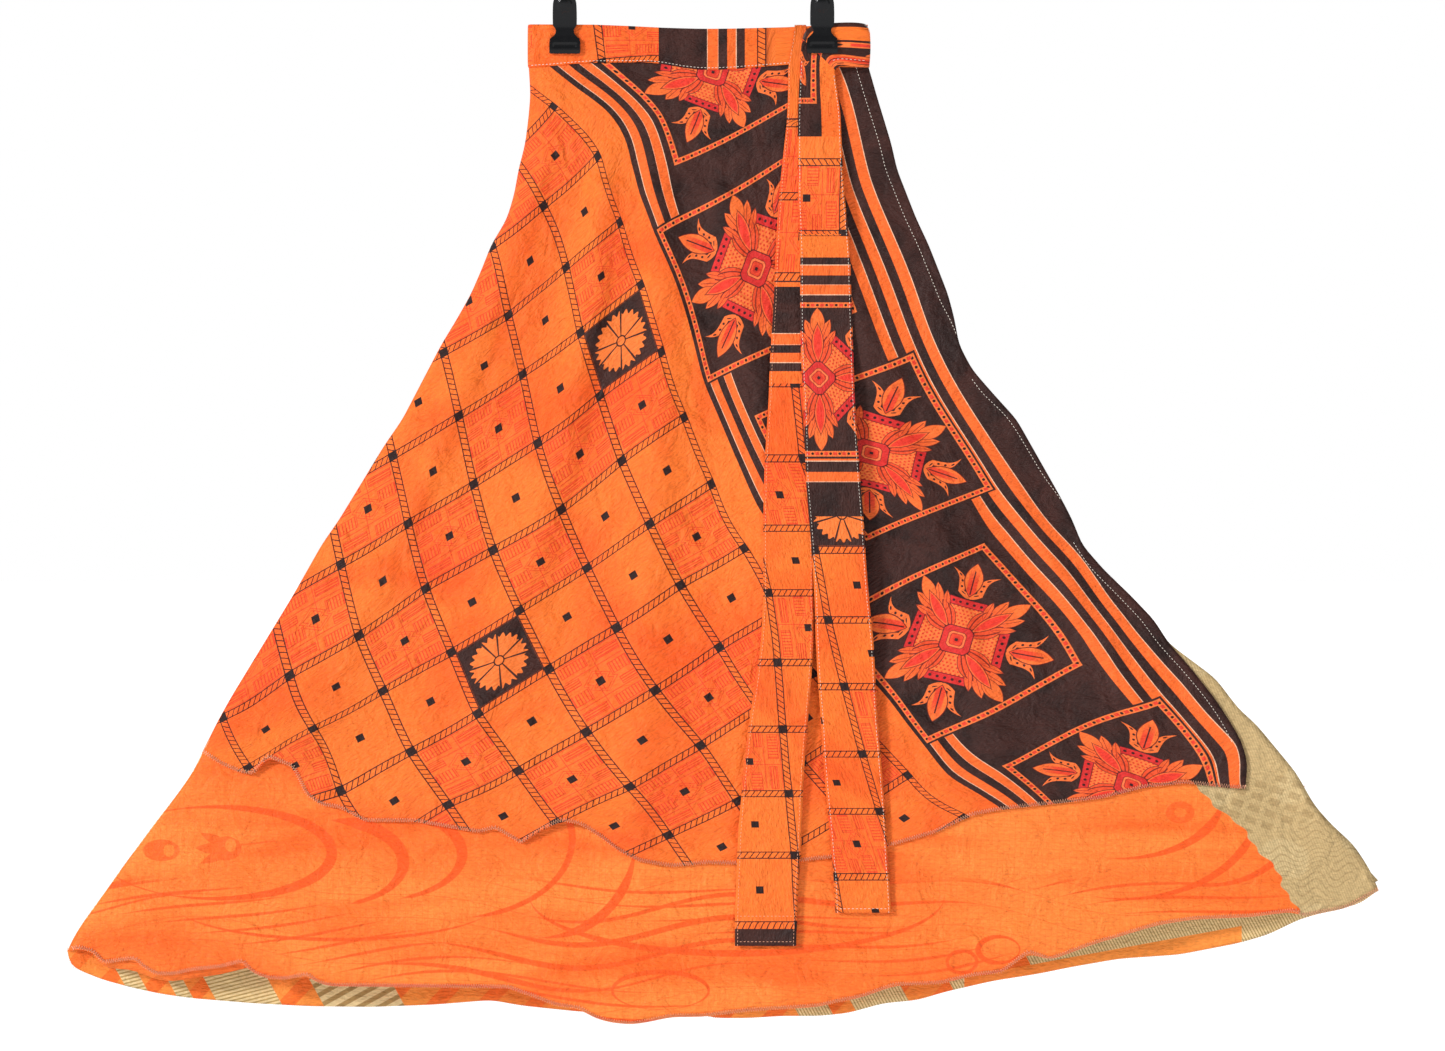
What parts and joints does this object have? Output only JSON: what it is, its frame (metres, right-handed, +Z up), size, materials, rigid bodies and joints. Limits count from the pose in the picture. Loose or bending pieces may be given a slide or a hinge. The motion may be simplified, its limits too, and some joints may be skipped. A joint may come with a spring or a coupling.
{
  "type": "wrap skirt on a clip hanger",
  "caption": "Long flared wrap skirt in two printed layers, a shorter one over a longer one, with long ties at the waist, hanging flat from a clip hanger.",
  "frame": {"origin": "inside the top of the hanger's hook, where it rests on a rail", "axes": "+Z up, +X to the right seen from the front, the front of the skirt faces -Y"},
  "size_m": [1.206, 0.0617, 1.0395],
  "materials": {
    "printed_orange": "smooth printed art-silk crepe with a soft sheen",
    "printed_pale_orange": "thin printed art-silk crepe, crinkled",
    "black_plastic": "moulded, satin",
    "steel": "bright plated wire"
  },
  "bodies": {
    "root": {"waistband": "printed_orange", "outer_front": "printed_orange", "outer_back": "printed_orange", "under_front": "printed_pale_orange", "under_back": "printed_pale_orange", "underlap": "printed_pale_orange", "tie_left": "printed_orange", "tie_right": "printed_orange", "clip_left_front": "black_plastic", "clip_left_back": "black_plastic", "clip_left_spring": "steel", "clip_right_front": "black_plastic", "clip_right_back": "black_plastic", "clip_right_spring": "steel", "hanger_bar": "steel", "hanger_hook": "steel"}
  },
  "joints": []
}
